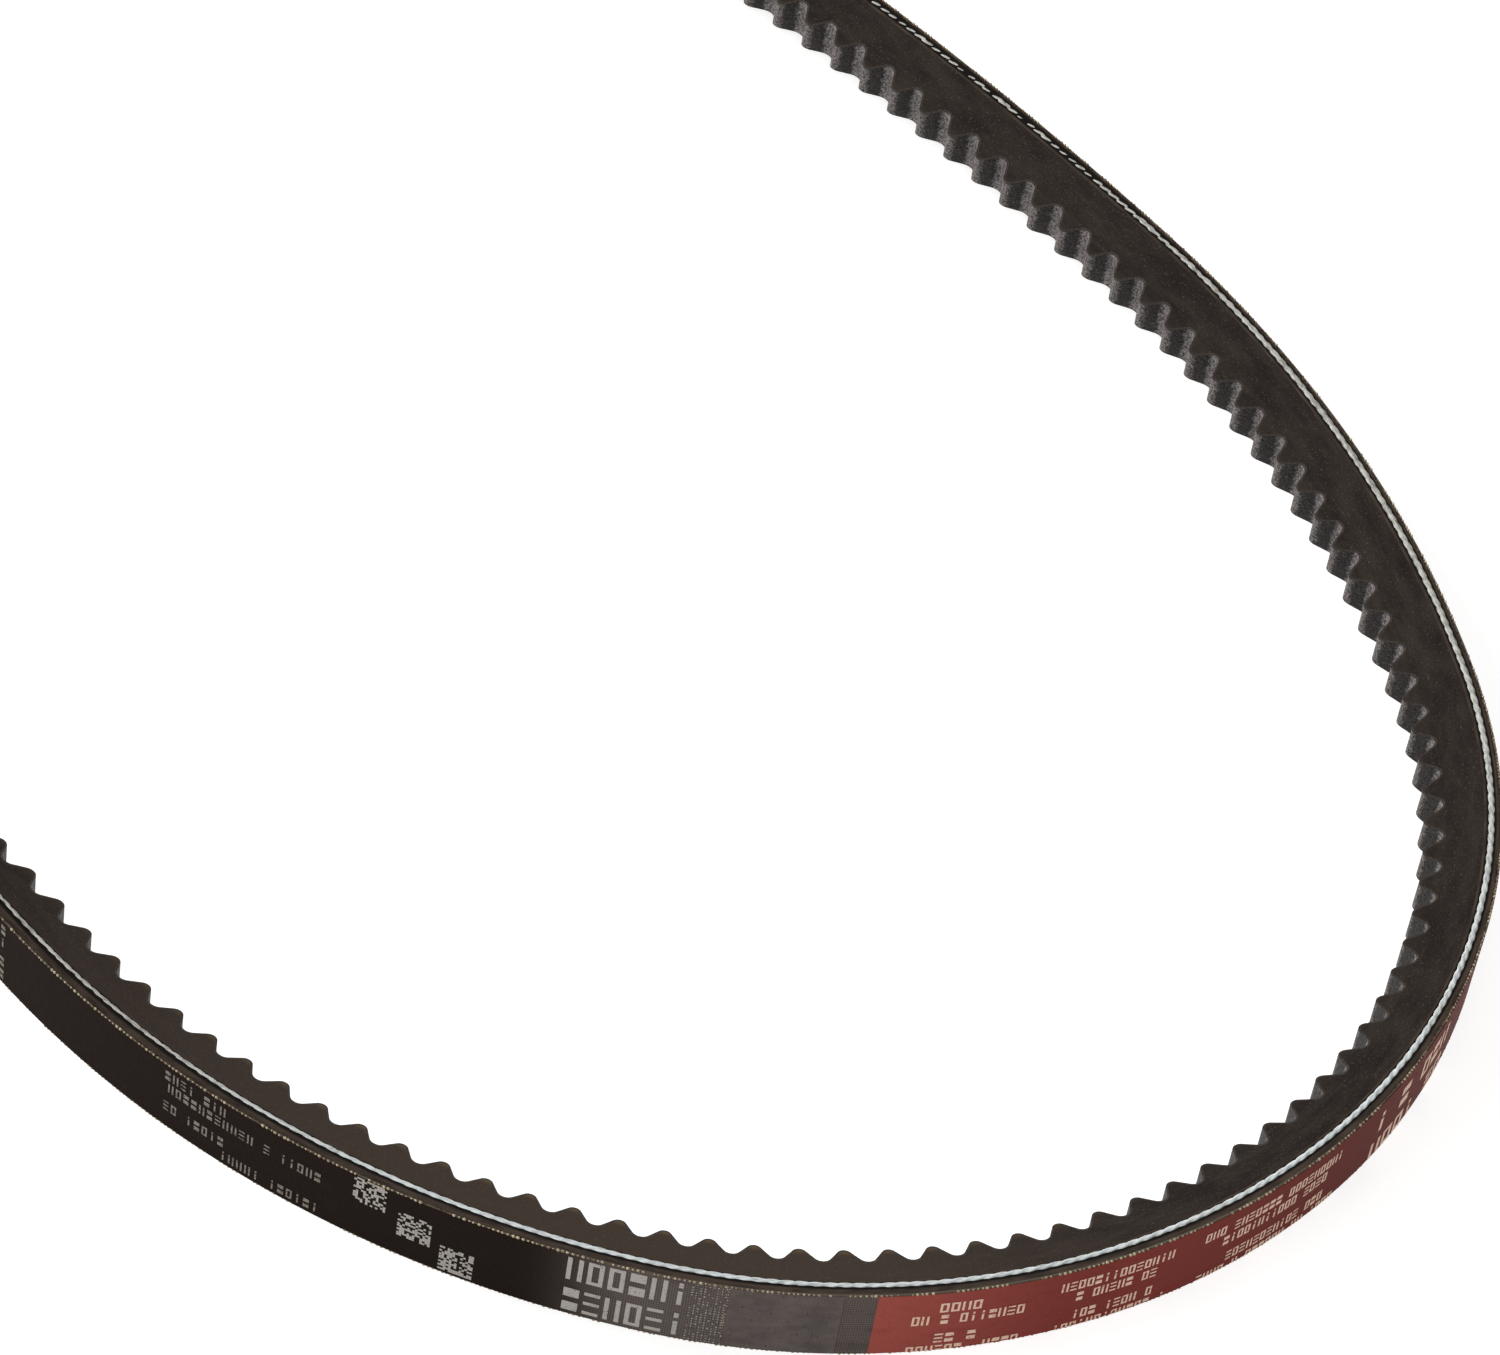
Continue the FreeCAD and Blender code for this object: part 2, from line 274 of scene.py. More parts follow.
# small things strewn along the run: jittered, of uneven size, and missing in stretches
def makeStrewTree():
    sizes = {"Count": ("NodeSocketInt", 10), "Pitch": ("NodeSocketFloat", 1 * mm),
             "Start": ("NodeSocketVector", (0.0, 0.0, 0.0)),
             "Jitter": ("NodeSocketFloat", 0.1 * mm),
             "Smallest": ("NodeSocketFloat", 0.6), "Largest": ("NodeSocketFloat", 1.2),
             "Gap Length": ("NodeSocketFloat", 8 * mm), "Kept": ("NodeSocketFloat", 0.5),
             "Seed": ("NodeSocketInt", 3)}
    tree, given = newTree("strewAlongBelt", sizes | wrapSizes)
    step = addNode(tree, "ShaderNodeCombineXYZ", links={0: given["Pitch"]}).outputs[0]
    spots = addNode(tree, "GeometryNodeMeshLine", links={
        "Count": given["Count"], "Start Location": given["Start"], "Offset": step})
    position = addNode(tree, "GeometryNodeInputPosition").outputs[0]
    perGap = addNode(tree, "ShaderNodeMath", {"operation": "DIVIDE"},
                     {0: 1.0, 1: given["Gap Length"]}).outputs[0]
    patchy = addNode(tree, "ShaderNodeTexNoise", {"noise_dimensions": "4D"},
                     {"Vector": position, "W": given["Seed"], "Scale": perGap,
                      "Detail": 3.0, "Roughness": 0.7}).outputs[0]
    absent = addNode(tree, "ShaderNodeMath", {"operation": "GREATER_THAN"},
                     {0: patchy, 1: given["Kept"]}).outputs[0]
    kept = addNode(tree, "GeometryNodeDeleteGeometry", {"domain": "POINT"},
                   {"Geometry": spots.outputs[0], "Selection": absent})
    back = addNode(tree, "ShaderNodeMath", {"operation": "MULTIPLY"},
                   {0: given["Jitter"], 1: -1.0}).outputs[0]
    low = addNode(tree, "ShaderNodeCombineXYZ", links={0: back}).outputs[0]
    high = addNode(tree, "ShaderNodeCombineXYZ", links={0: given["Jitter"]}).outputs[0]
    jitter = addNode(tree, "FunctionNodeRandomValue", {"data_type": "FLOAT_VECTOR"},
                     {0: low, 1: high, "Seed": given["Seed"]}).outputs[0]
    moved = addNode(tree, "GeometryNodeSetPosition",
                    links={"Geometry": kept.outputs[0], "Offset": jitter})
    size = addNode(tree, "FunctionNodeRandomValue", {"data_type": "FLOAT"},
                   {2: given["Smallest"], 3: given["Largest"], "Seed": given["Seed"]}).outputs[1]
    copies = addNode(tree, "GeometryNodeInstanceOnPoints",
                     links={"Points": moved.outputs[0], "Instance": given["Geometry"],
                            "Scale": size})
    real = addNode(tree, "GeometryNodeRealizeInstances", links={"Geometry": copies.outputs[0]})
    return wrapAndEnd(tree, given, real.outputs[0])


# the exposed turn of the cord: cells end to end, sunk into the raw side by a depth that varies
def makeCordTree():
    sizes = {"Count": ("NodeSocketInt", 1), "Pitch": ("NodeSocketFloat", 1 * mm),
             "Shallow": ("NodeSocketFloat", 0.1 * mm), "Deep": ("NodeSocketFloat", 0.3 * mm),
             "Frayed Deep": ("NodeSocketFloat", 0.37 * mm),
             "Fade Start": ("NodeSocketFloat", 0.3), "Fade End": ("NodeSocketFloat", 0.2),
             "Bury Start": ("NodeSocketFloat", 0.6), "Bury End": ("NodeSocketFloat", 0.7),
             "Waver": ("NodeSocketFloat", 0.05 * mm),
             "Frayed Waver": ("NodeSocketFloat", 0.1 * mm),
             "Waver Length": ("NodeSocketFloat", 9 * mm),
             "End Length": ("NodeSocketFloat", 10 * mm),
             "Up": ("NodeSocketFloat", 1.0)}
    tree, given = newTree("exposedCord", sizes | wrapSizes)
    step = addNode(tree, "ShaderNodeCombineXYZ", links={0: given["Pitch"]}).outputs[0]
    spots = addNode(tree, "GeometryNodeMeshLine",
                    links={"Count": given["Count"], "Offset": step})
    copies = addNode(tree, "GeometryNodeInstanceOnPoints",
                     links={"Points": spots.outputs[0], "Instance": given["Geometry"]})
    real = addNode(tree, "GeometryNodeRealizeInstances", links={"Geometry": copies.outputs[0]})
    joined = addNode(tree, "GeometryNodeMergeByDistance",
                     links={"Geometry": real.outputs[0], "Distance": mergeDistance})
    position = addNode(tree, "GeometryNodeInputPosition").outputs[0]
    run = addNode(tree, "ShaderNodeSeparateXYZ", links={0: position}).outputs[0]
    towards = []
    for first, last, deep in (("Fade Start", "Fade End", "Frayed Deep"),
                              ("Bury Start", "Bury End", "Deep")):
        towards.append(addNode(tree, "ShaderNodeMapRange", links={
            "Value": run, "From Min": given[first], "From Max": given[last],
            "To Min": given["Shallow"], "To Max": given[deep]}).outputs[0])
    sink = addNode(tree, "ShaderNodeMath", {"operation": "MAXIMUM"},
                   {0: towards[0], 1: towards[1]}).outputs[0]
    perWaver = addNode(tree, "ShaderNodeMath", {"operation": "DIVIDE"},
                       {0: 1.0, 1: given["Waver Length"]}).outputs[0]
    along = addNode(tree, "ShaderNodeMath", {"operation": "MULTIPLY"},
                    {0: run, 1: perWaver}).outputs[0]
    noise = addNode(tree, "ShaderNodeTexNoise", {"noise_dimensions": "1D"},
                    {"W": along, "Scale": 1.0, "Detail": 1.0}).outputs[0]
    # noise keeps near its middle, so twice the width brings most of it to between -1 and 1
    swing = addNode(tree, "ShaderNodeMapRange", {"clamp": False},
                    {"Value": noise, "To Min": -2.0, "To Max": 2.0}).outputs[0]
    waver = addNode(tree, "ShaderNodeMapRange", links={
        "Value": run, "From Min": given["Fade Start"], "From Max": given["Fade End"],
        "To Min": given["Waver"], "To Max": given["Frayed Waver"]}).outputs[0]
    ripple = addNode(tree, "ShaderNodeMath", {"operation": "MULTIPLY_ADD"},
                     {0: swing, 1: waver, 2: sink}).outputs[0]
    # the ends of the run meet, so the ripple dies out there
    lead = addNode(tree, "ShaderNodeMath", {"operation": "SUBTRACT"},
                   {0: given["Belt Length"], 1: run}).outputs[0]
    nearest = addNode(tree, "ShaderNodeMath", {"operation": "MINIMUM"},
                      {0: run, 1: lead}).outputs[0]
    held = addNode(tree, "ShaderNodeMapRange", links={
        "Value": nearest, "From Min": 0.0, "From Max": given["End Length"]}).outputs[0]
    blended = addNode(tree, "ShaderNodeMix", {"data_type": "FLOAT"},
                      {0: held, 2: given["Deep"], 3: ripple}).outputs[0]
    down = addNode(tree, "ShaderNodeMath", {"operation": "MULTIPLY"},
                   {0: blended, 1: given["Up"]}).outputs[0]
    drop = addNode(tree, "ShaderNodeMath", {"operation": "MULTIPLY"},
                   {0: down, 1: -1.0}).outputs[0]
    offset = addNode(tree, "ShaderNodeCombineXYZ", links={2: drop}).outputs[0]
    sunk = addNode(tree, "GeometryNodeSetPosition",
                   links={"Geometry": joined.outputs[0], "Offset": offset})
    return wrapAndEnd(tree, given, sunk.outputs[0])


# a grid of small blocks, some left out at random
def makeGridTree():
    sizes = {"Across": ("NodeSocketInt", 10), "Up": ("NodeSocketInt", 10),
             "Length": ("NodeSocketFloat", 6 * mm), "Height": ("NodeSocketFloat", 6 * mm),
             "Middle": ("NodeSocketVector", (0.0, 0.0, 0.0)), "Left Out": ("NodeSocketFloat", 0.4),
             "Smallest": ("NodeSocketFloat", 0.8), "Seed": ("NodeSocketInt", 1)}
    tree, given = newTree("gridOnBelt", sizes | wrapSizes)
    grid = addNode(tree, "GeometryNodeMeshGrid", links={
        "Size X": given["Length"], "Size Y": given["Height"],
        "Vertices X": given["Across"], "Vertices Y": given["Up"]})
    upright = addNode(tree, "GeometryNodeTransform", links={
        "Geometry": grid.outputs[0], "Rotation": (math.pi / 2, 0, 0),
        "Translation": given["Middle"]})
    chance = addNode(tree, "FunctionNodeRandomValue", {"data_type": "BOOLEAN"},
                     {"Probability": given["Left Out"], "Seed": given["Seed"]}).outputs[3]
    kept = addNode(tree, "GeometryNodeDeleteGeometry", {"domain": "POINT"},
                   {"Geometry": upright.outputs[0], "Selection": chance})
    size = addNode(tree, "FunctionNodeRandomValue", {"data_type": "FLOAT"},
                   {2: given["Smallest"], 3: 1.0, "Seed": given["Seed"]}).outputs[1]
    copies = addNode(tree, "GeometryNodeInstanceOnPoints",
                     links={"Points": kept.outputs[0], "Instance": given["Geometry"],
                            "Scale": size})
    real = addNode(tree, "GeometryNodeRealizeInstances", links={"Geometry": copies.outputs[0]})
    return wrapAndEnd(tree, given, real.outputs[0])


repeatTree = makeRepeatTree()
strewTree = makeStrewTree()
cordTree = makeCordTree()
gridTree = makeGridTree()
print("geometry trees ready")


# runs a tree on a flat mesh and leaves one plain piece, riding on the part; values are the tree's
# inputs, so firstRun fills the input called First Run
def growPiece(name, flatMesh, tree, material, slot, replaced=(), sharpAngle=35, **values):
    carrier = bpy.data.objects.new(name + "Flat", flatMesh)
    bpy.context.scene.collection.objects.link(carrier)
    modifier = carrier.modifiers.new("onBelt", "NODES")
    modifier.node_group = tree
    values = {"Path": beltPath, "Material": material} | {
        "".join(" " + c if c.isupper() else c for c in key).strip().title(): value
        for key, value in values.items()}
    for item in tree.interface.items_tree:
        if item.in_out == "INPUT" and item.name in values:
            modifier[item.identifier] = values[item.name]
    graph = bpy.context.evaluated_depsgraph_get()
    mesh = bpy.data.meshes.new_from_object(
        carrier.evaluated_get(graph), preserve_all_data_layers=True, depsgraph=graph)
    bpy.data.objects.remove(carrier)
    mesh.name = name
    mesh.set_sharp_from_angle(angle=math.radians(sharpAngle))
    piece = bpy.data.objects.new(name, mesh)
    bpy.context.scene.collection.objects.link(piece)
    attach(piece, "root")
    if replaced:
        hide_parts(*replaced)
    print("made", name, len(mesh.polygons), "faces")
    return piece


# flat mesh from sections in order along the run, each a ring of (run, depth, height)
def sweptMesh(sections, capped):
    mesh = bpy.data.meshes.new("flat")
    size = len(sections[0])
    points = [(run, -depth, height) for ring in sections for run, depth, height in ring]
    faces = []
    for index in range(len(sections) - 1):
        for corner in range(size):
            following = (corner + 1) % size
            here, ahead = index * size, (index + 1) * size
            faces.append((here + corner, ahead + corner, ahead + following, here + following))
    if capped:
        last = (len(sections) - 1) * size
        faces.append(tuple(range(size)))
        faces.append(tuple(reversed(range(last, last + size))))
    mesh.from_pydata(points, [], faces)
    return mesh


# closed flat mesh of many plates; each plate is a list of corners (run, height)
def plateMesh(plates, top, bottom):
    mesh = bpy.data.meshes.new("plates")
    points, faces = [], []
    for corners in plates:
        first, count = len(points), len(corners)
        points += [(run, top, height) for run, height in corners]
        points += [(run, bottom, height) for run, height in corners]
        faces.append(tuple(range(first, first + count)))
        faces.append(tuple(reversed(range(first + count, first + 2 * count))))
        for corner in range(count):
            following = (corner + 1) % count
            faces.append((first + corner, first + count + corner,
                          first + count + following, first + following))
    mesh.from_pydata(points, [], faces)
    shape = bmesh.new()
    shape.from_mesh(mesh)
    bmesh.ops.recalc_face_normals(shape, faces=shape.faces)
    shape.to_mesh(mesh)
    shape.free()
    return mesh


def lowSide(depth):
    return depth * slope


def highSide(depth):
    return beltWidth - depth * slope


# A new material with its shader, and the flat place on the belt in millimetres
def newMaterial(name, roughness, **settings):
    material = bpy.data.materials.new(name)
    material.use_nodes = True
    tree = material.node_tree
    shader = tree.nodes["Principled BSDF"]
    shader.inputs["Roughness"].default_value = roughness
    for key, value in settings.items():
        shader.inputs[key.replace("_", " ")].default_value = value
    place = addNode(tree, "ShaderNodeAttribute", {"attribute_name": "beltPlace"})
    inMm = addNode(tree, "ShaderNodeVectorMath", {"operation": "SCALE"},
                   {0: place.outputs["Vector"], "Scale": 1 / mm}).outputs[0]
    return material, tree, shader, inMm


# clouds whose features are this many millimetres, as (along the run, depth, height)
def mottling(tree, place, features, detail=4.0, roughness=0.6):
    scaled = addNode(tree, "ShaderNodeVectorMath", {"operation": "DIVIDE"},
                     {0: place, 1: features}).outputs[0]
    return addNode(tree, "ShaderNodeTexNoise", links={
        "Vector": scaled, "Scale": 1.0, "Detail": detail, "Roughness": roughness}).outputs[0]


# threads crossing on the bias: height of the weave, 0 in the gaps and 1 on the crowns
def biasWeave(tree, place):
    parts = addNode(tree, "ShaderNodeSeparateXYZ", links={0: place}).outputs
    perMm = 2 * math.pi / weave["spacing"]
    waves = []
    for turn in (weave["angle"], -weave["angle"]):
        runPart = addNode(tree, "ShaderNodeMath", {"operation": "MULTIPLY"},
                          {0: parts[0], 1: math.sin(turn) * perMm}).outputs[0]
        both = addNode(tree, "ShaderNodeMath", {"operation": "MULTIPLY_ADD"},
                       {0: parts[2], 1: math.cos(turn) * perMm, 2: runPart}).outputs[0]
        waves.append(addNode(tree, "ShaderNodeMath", {"operation": "SINE"},
                             {0: both}).outputs[0])
    crossing = addNode(tree, "ShaderNodeMath", {"operation": "MULTIPLY"},
                       {0: waves[0], 1: waves[1]}).outputs[0]
    return addNode(tree, "ShaderNodeMapRange", links={
        "Value": crossing, "From Min": -1.0, "From Max": 1.0}).outputs[0]


# 1 on one stretch of the run and 0 elsewhere, with soft ends; runs in millimetres
def stretchOf(tree, run, comesIn, goesOut):
    ends = [addNode(tree, "ShaderNodeMapRange", {"interpolation_type": "SMOOTHSTEP"},
                    {"Value": run, "From Min": none, "From Max": full}).outputs[0]
            for none, full in (comesIn, reversed(goesOut))]
    return addNode(tree, "ShaderNodeMath", {"operation": "MULTIPLY"},
                   {0: ends[0], 1: ends[1]}).outputs[0]


# how far in from the nearer raw side's edge, in millimetres; outside it is negative
def insetOf(tree, place):
    parts = addNode(tree, "ShaderNodeSeparateXYZ", links={0: place}).outputs
    halfHeight = addNode(tree, "ShaderNodeMath", {"operation": "MULTIPLY_ADD"},
                         {0: parts[1], 1: slope, 2: beltWidth / mm / 2}).outputs[0]
    rise = addNode(tree, "ShaderNodeMath", {"operation": "SUBTRACT"},
                   {0: parts[2], 1: beltWidth / mm / 2}).outputs[0]
    outwards = addNode(tree, "ShaderNodeMath", {"operation": "ABSOLUTE"}, {0: rise}).outputs[0]
    return addNode(tree, "ShaderNodeMath", {"operation": "SUBTRACT"},
                   {0: halfHeight, 1: outwards}).outputs[0]


# mixes two hex codes or sockets as the factor goes from start to stop
def shadeBetween(tree, factor, low, high, start=0.0, stop=1.0):
    share = addNode(tree, "ShaderNodeMapRange", {"interpolation_type": "SMOOTHSTEP"},
                    {"Value": factor, "From Min": start, "From Max": stop}).outputs[0]
    colours = [linear(c) if isinstance(c, str) else c for c in (low, high)]
    return addNode(tree, "ShaderNodeMix", {"data_type": "RGBA"},
                   {0: share, 6: colours[0], 7: colours[1]}).outputs[2]


# gives the shader its colour and a relief of this height in metres
def finishMaterial(tree, shader, colour, relief, distance, strength):
    tree.links.new(colour, shader.inputs["Base Color"])
    bump = addNode(tree, "ShaderNodeBump", links={
        "Height": relief, "Distance": distance, "Strength": strength})
    tree.links.new(bump.outputs[0], shader.inputs["Normal"])


def ringCell(profile, pitch):
    return sweptMesh([[(run, depth, height) for depth, height in profile]
                      for run in (0.0, pitch)], False)


ring = {"cells": 640}
cellPitch = beltLength / ring["cells"]
weave = {"spacing": 0.66, "angle": math.radians(50)}    # thread spacing in mm, off upright

# the pale colours and their runs are a painted sheen on the canvas
canvas = {"edgeRound": 0.12 * mm, "dark": ("#18110e", "#231915"), "pale": ("#48403c", "#6d635e"),
          "paintedSheenRuns": ((430.0, 500.0), (582.0, 612.0)), "worn": "#241c18", "cutEdge": "#65594a"}


# rubbered cotton canvas, calendered: matt near black with the bias threads just showing,
# and a greyer painted sheen on runs 430 to 612, where the back faces the light
def makeCanvasMaterial():
    material, tree, shader, place = newMaterial("calenderedCottonCanvas", 0.7,
                                                Specular_IOR_Level=0.03)
    threads = biasWeave(tree, place)
    clouds = mottling(tree, place, (9.0, 9.0, 4.0))
    grain = mottling(tree, place, (0.5, 0.5, 0.5), 2.0)
    parts = addNode(tree, "ShaderNodeSeparateXYZ", links={0: place}).outputs
    dark = shadeBetween(tree, threads, *canvas["dark"])
    pale = shadeBetween(tree, threads, *canvas["pale"])
    # painted sheen: the canvas is paler on these runs, standing in for light on the back
    paintedSheen = stretchOf(tree, parts[0], *canvas["paintedSheenRuns"])
    cloth = shadeBetween(tree, paintedSheen, dark, pale)
    worn = shadeBetween(tree, clouds, cloth, canvas["worn"], 0.5, 0.95)
    # lighter cotton shows where the canvas was cut, along both edges
    middle = beltWidth / mm / 2
    rise = addNode(tree, "ShaderNodeMath", {"operation": "SUBTRACT"},
                   {0: parts[2], 1: middle}).outputs[0]
    outwards = addNode(tree, "ShaderNodeMath", {"operation": "ABSOLUTE"}, {0: rise}).outputs[0]
    frayed = addNode(tree, "ShaderNodeMath", {"operation": "MULTIPLY_ADD"},
                     {0: grain, 1: 0.35, 2: outwards}).outputs[0]
    colour = shadeBetween(tree, frayed, worn, canvas["cutEdge"], middle - 0.02, middle + 0.12)
    finishMaterial(tree, shader, colour, threads, 0.09 * mm, 0.7)
    return material


canvasMaterial = makeCanvasMaterial()


def makeCanvas():
    inner, roundness = layers["canvas"], canvas["edgeRound"]
    profile = [(roundness, lowSide(roundness)), (inner, lowSide(inner)),
               (inner, highSide(inner)), (roundness, highSide(roundness)),
               (0.0, beltWidth - roundness), (0.0, roundness)]
    growPiece("backCanvas", ringCell(profile, cellPitch), repeatTree, canvasMaterial,
              "back_canvas", ["back_canvas"], count=ring["cells"], pitch=cellPitch)


makeCanvas()


threadEnds = {"spacing": 0.87 * mm, "along": 0.29 * mm, "across": 0.2 * mm,
              "jitter": 0.13 * mm, "kept": 0.57, "patch": 9 * mm, "inset": 0.08 * mm,
              "smallest": 0.55, "largest": 1.3, "stained": "#6a5d4b", "clean": "#c2b394"}


# cut ends of the canvas threads: undyed cotton, dull tan, some stained by the rubber
def makeThreadMaterial():
    material, tree, shader, place = newMaterial("cutCottonThreadEnds", 0.85)
    stain = mottling(tree, place, (1.4, 1.4, 1.4), 2.0)
    colour = shadeBetween(tree, stain, threadEnds["stained"], threadEnds["clean"], 0.3, 0.6)
    finishMaterial(tree, shader, colour, stain, 0.05 * mm, 0.5)
    return material


threadMaterial = makeThreadMaterial()


def makeThreadEnds():
    shape = bmesh.new()
    bmesh.ops.create_icosphere(shape, subdivisions=1, radius=1.0)
    bmesh.ops.scale(shape, verts=shape.verts,
                    vec=(threadEnds["along"], threadEnds["across"], threadEnds["across"]))
    count = round(beltLength / threadEnds["spacing"])
    for seed, (name, height) in enumerate((("lower", threadEnds["inset"]),
                                           ("upper", beltWidth - threadEnds["inset"]))):
        mesh = bpy.data.meshes.new("threadEnd")
        shape.to_mesh(mesh)
        growPiece("canvasThreadEnds_" + name, mesh, strewTree, threadMaterial, "back_canvas", (), 60,
                  count=count, pitch=beltLength / count,
                  start=(0.0, -threadEnds["inset"], height), jitter=threadEnds["jitter"],
                  smallest=threadEnds["smallest"], largest=threadEnds["largest"],
                  gapLength=threadEnds["patch"], kept=threadEnds["kept"], seed=seed + 4)
    shape.free()


makeThreadEnds()


gum = {"besideCord": "#100c0a", "brown": ("#2e2620", "#4b3f35")}


# adhesion gum round the cord: smooth, near black beside the cord, browner towards the canvas
def makeGumMaterial():
    material, tree, shader, place = newMaterial("millBlendedAdhesionGum", 0.65,
                                                Specular_IOR_Level=0.1)
    parts = addNode(tree, "ShaderNodeSeparateXYZ", links={0: place}).outputs
    cordLine = addNode(tree, "ShaderNodeMath", {"operation": "ADD"},
                       {0: parts[1], 1: layers["cord"] / mm}).outputs[0]
    away = addNode(tree, "ShaderNodeMath", {"operation": "ABSOLUTE"}, {0: cordLine}).outputs[0]
    blotches = mottling(tree, place, (5.0, 0.8, 0.8))
    brown = shadeBetween(tree, blotches, *gum["brown"], 0.3, 0.7)
    colour = shadeBetween(tree, away, gum["besideCord"], brown, 0.75, 1.05)
    finishMaterial(tree, shader, colour, blotches, 0.06 * mm, 0.4)
    return material


gumMaterial = makeGumMaterial()


def makeGum():
    top, middle, hold = layers["canvas"], layers["cord"], layers["cordHold"]
    low, high, below = middle - hold, middle + hold, middle + layers["cushion"]
    over = [(top, lowSide(top)), (low, lowSide(low)), (middle, lowSide(middle)),
            (middle, highSide(middle)), (low, highSide(low)), (top, highSide(top))]
    under = [(middle, lowSide(middle)), (high, lowSide(high)), (below, lowSide(below)),
             (below, highSide(below)), (high, highSide(high)), (middle, highSide(middle))]
    for name, profile, node in (("overcordGum", over, "overcord_rubber"),
                                ("cushionGum", under, "cushion_rubber")):
        growPiece(name, ringCell(profile, cellPitch), repeatTree, gumMaterial, "cord_gum",
                  [node], count=ring["cells"], pitch=cellPitch)


makeGum()


# runs in millimetres where the cord turns greyer, in metres where the cord goes deeper
cord = {"radius": 0.64 * mm, "flattened": 0.62, "strandShare": 0.58, "strandOffset": 0.42,
        "points": 15, "steps": 6, "shallow": 0.09 * mm, "deep": 0.26 * mm,
        "frayedDeep": 0.37 * mm, "waver": 0.04 * mm, "frayedWaver": 0.08 * mm,
        "waverLength": 6 * mm, "fadeRuns": (0.26, 0.185), "buryRuns": (0.6, 0.68),
        "clean": ("#b9c0be", "#e4eaea"), "greyedCord": ("#7f7c74", "#c3c2b9"),
        "toneRuns": ((450.0, 300.0), (620.0, 700.0))}


# stretched polyester cord, three strands: pale, a little blue, with fine filaments,
# mottled, and greyer on the runs before 450 and after 620
def makeCordMaterial():
    material, tree, shader, place = newMaterial("stretchedPolyesterCord", 0.55, Sheen_Weight=0.25)
    parts = addNode(tree, "ShaderNodeSeparateXYZ", links={0: place}).outputs
    dust = mottling(tree, place, (2.2, 0.5, 0.5), 3.0)
    filaments = mottling(tree, place, (1.2, 0.12, 0.12), 2.0)
    clean = shadeBetween(tree, dust, *cord["clean"], 0.3, 0.58)
    towards = [addNode(tree, "ShaderNodeMapRange", links={
        "Value": parts[0], "From Min": first, "From Max": last}).outputs[0]
        for first, last in cord["toneRuns"]]
    # the cord colour is greyer on runs below 450 and above 620
    greying = addNode(tree, "ShaderNodeMath", {"operation": "MAXIMUM"},
                   {0: towards[0], 1: towards[1]}).outputs[0]
    greyedCord = shadeBetween(tree, dust, *cord["greyedCord"], 0.3, 0.6)
    colour = shadeBetween(tree, greying, clean, greyedCord)
    finishMaterial(tree, shader, colour, filaments, 0.05 * mm, 0.5)
    return material


cordMaterial = makeCordMaterial()


# outline of three strands laid together, at an angle from one strand's crown
def strandRadius(angle):
    nearest = (angle + math.pi / 3) % (2 * math.pi / 3) - math.pi / 3
    part = cord["strandOffset"] * math.sin(nearest)
    return cord["radius"] * (cord["strandOffset"] * math.cos(nearest)
                             + math.sqrt(cord["strandShare"] ** 2 - part ** 2))


def makeExposedCord():
    third = 2 * math.pi / 3
    depth = layers["cord"]
    for name, up, node in (("exposedCord_upper", 1.0, "tensile_cord_turn_10"),
                           ("exposedCord_lower", -1.0, "tensile_cord_turn_01")):
        middle = highSide(depth) if up > 0 else lowSide(depth)
        sections = []
        for step in range(cord["steps"] + 1):
            share = step / cord["steps"]
            section = []
            for index in range(cord["points"]):
                angle = 2 * math.pi * index / cord["points"]
                reach = strandRadius(angle)
                turned = -angle + third * share
                section.append((cellPitch * share, depth + reach * math.cos(turned),
                                middle + reach * cord["flattened"] * math.sin(turned)))
            sections.append(section)
        growPiece(name, sweptMesh(sections, False), cordTree, cordMaterial, "polyester_cord",
                  [node], 60, count=ring["cells"], pitch=cellPitch, shallow=cord["shallow"],
                  deep=cord["deep"], frayedDeep=cord["frayedDeep"],
                  fadeStart=cord["fadeRuns"][0], fadeEnd=cord["fadeRuns"][1],
                  buryStart=cord["buryRuns"][0], buryEnd=cord["buryRuns"][1],
                  waver=cord["waver"], frayedWaver=cord["frayedWaver"],
                  waverLength=cord["waverLength"], up=up)


makeExposedCord()
for name, node in nodes.items():
    if name.startswith("tensile_cord"):
        node.data.materials.clear()
        node.data.materials.append(cordMaterial)


rubber = {"ground": ("#221c19", "#342d28"), "streak": "#3d342d", "fibreEnds": "#665a4e",
          "dust": "#42372f", "toneRuns": ((460.0, 580.0), (600.0, 800.0)),
          "tips": ("#352d27", "#64543f")}


# fibre-loaded rubber, ground to the wedge: dark brown, matt, cloudy, with fibre ends as fine
# specks, paler on runs 460 to 800, brown at the cog tips with a painted highlight on those runs
def makeRubberMaterial():
    material, tree, shader, place = newMaterial("groundFibreRubber", 0.7, Specular_IOR_Level=0.1)
    clouds = mottling(tree, place, (11.0, 3.5, 3.5), 5.0, 0.65)
    streaks = mottling(tree, place, (14.0, 0.7, 0.7), 3.0)
    specks = mottling(tree, place, (0.32, 0.32, 0.32), 2.0)
    parts = addNode(tree, "ShaderNodeSeparateXYZ", links={0: place}).outputs
    cloudy = shadeBetween(tree, clouds, *rubber["ground"], 0.3, 0.7)
    streaked = shadeBetween(tree, streaks, cloudy, rubber["streak"], 0.6, 1.0)
    # the rubber colour is paler on runs 460 to 800, fullest from 580 to 600
    dust = stretchOf(tree, parts[0], *rubber["toneRuns"])
    paledRubber = shadeBetween(tree, dust, streaked, rubber["dust"])
    speckled = shadeBetween(tree, specks, paledRubber, rubber["fibreEnds"], 0.58, 0.82)
    # the tips are brown rubber, painted lighter on runs 460 to 800 as a painted highlight on the rim
    tip = shadeBetween(tree, dust, *rubber["tips"])
    colour = shadeBetween(tree, parts[1], tip, speckled, -13.5, -11.6)
    both = addNode(tree, "ShaderNodeMath", {"operation": "ADD"},
                   {0: specks, 1: streaks}).outputs[0]
    finishMaterial(tree, shader, colour, both, 0.05 * mm, 0.5)
    return material


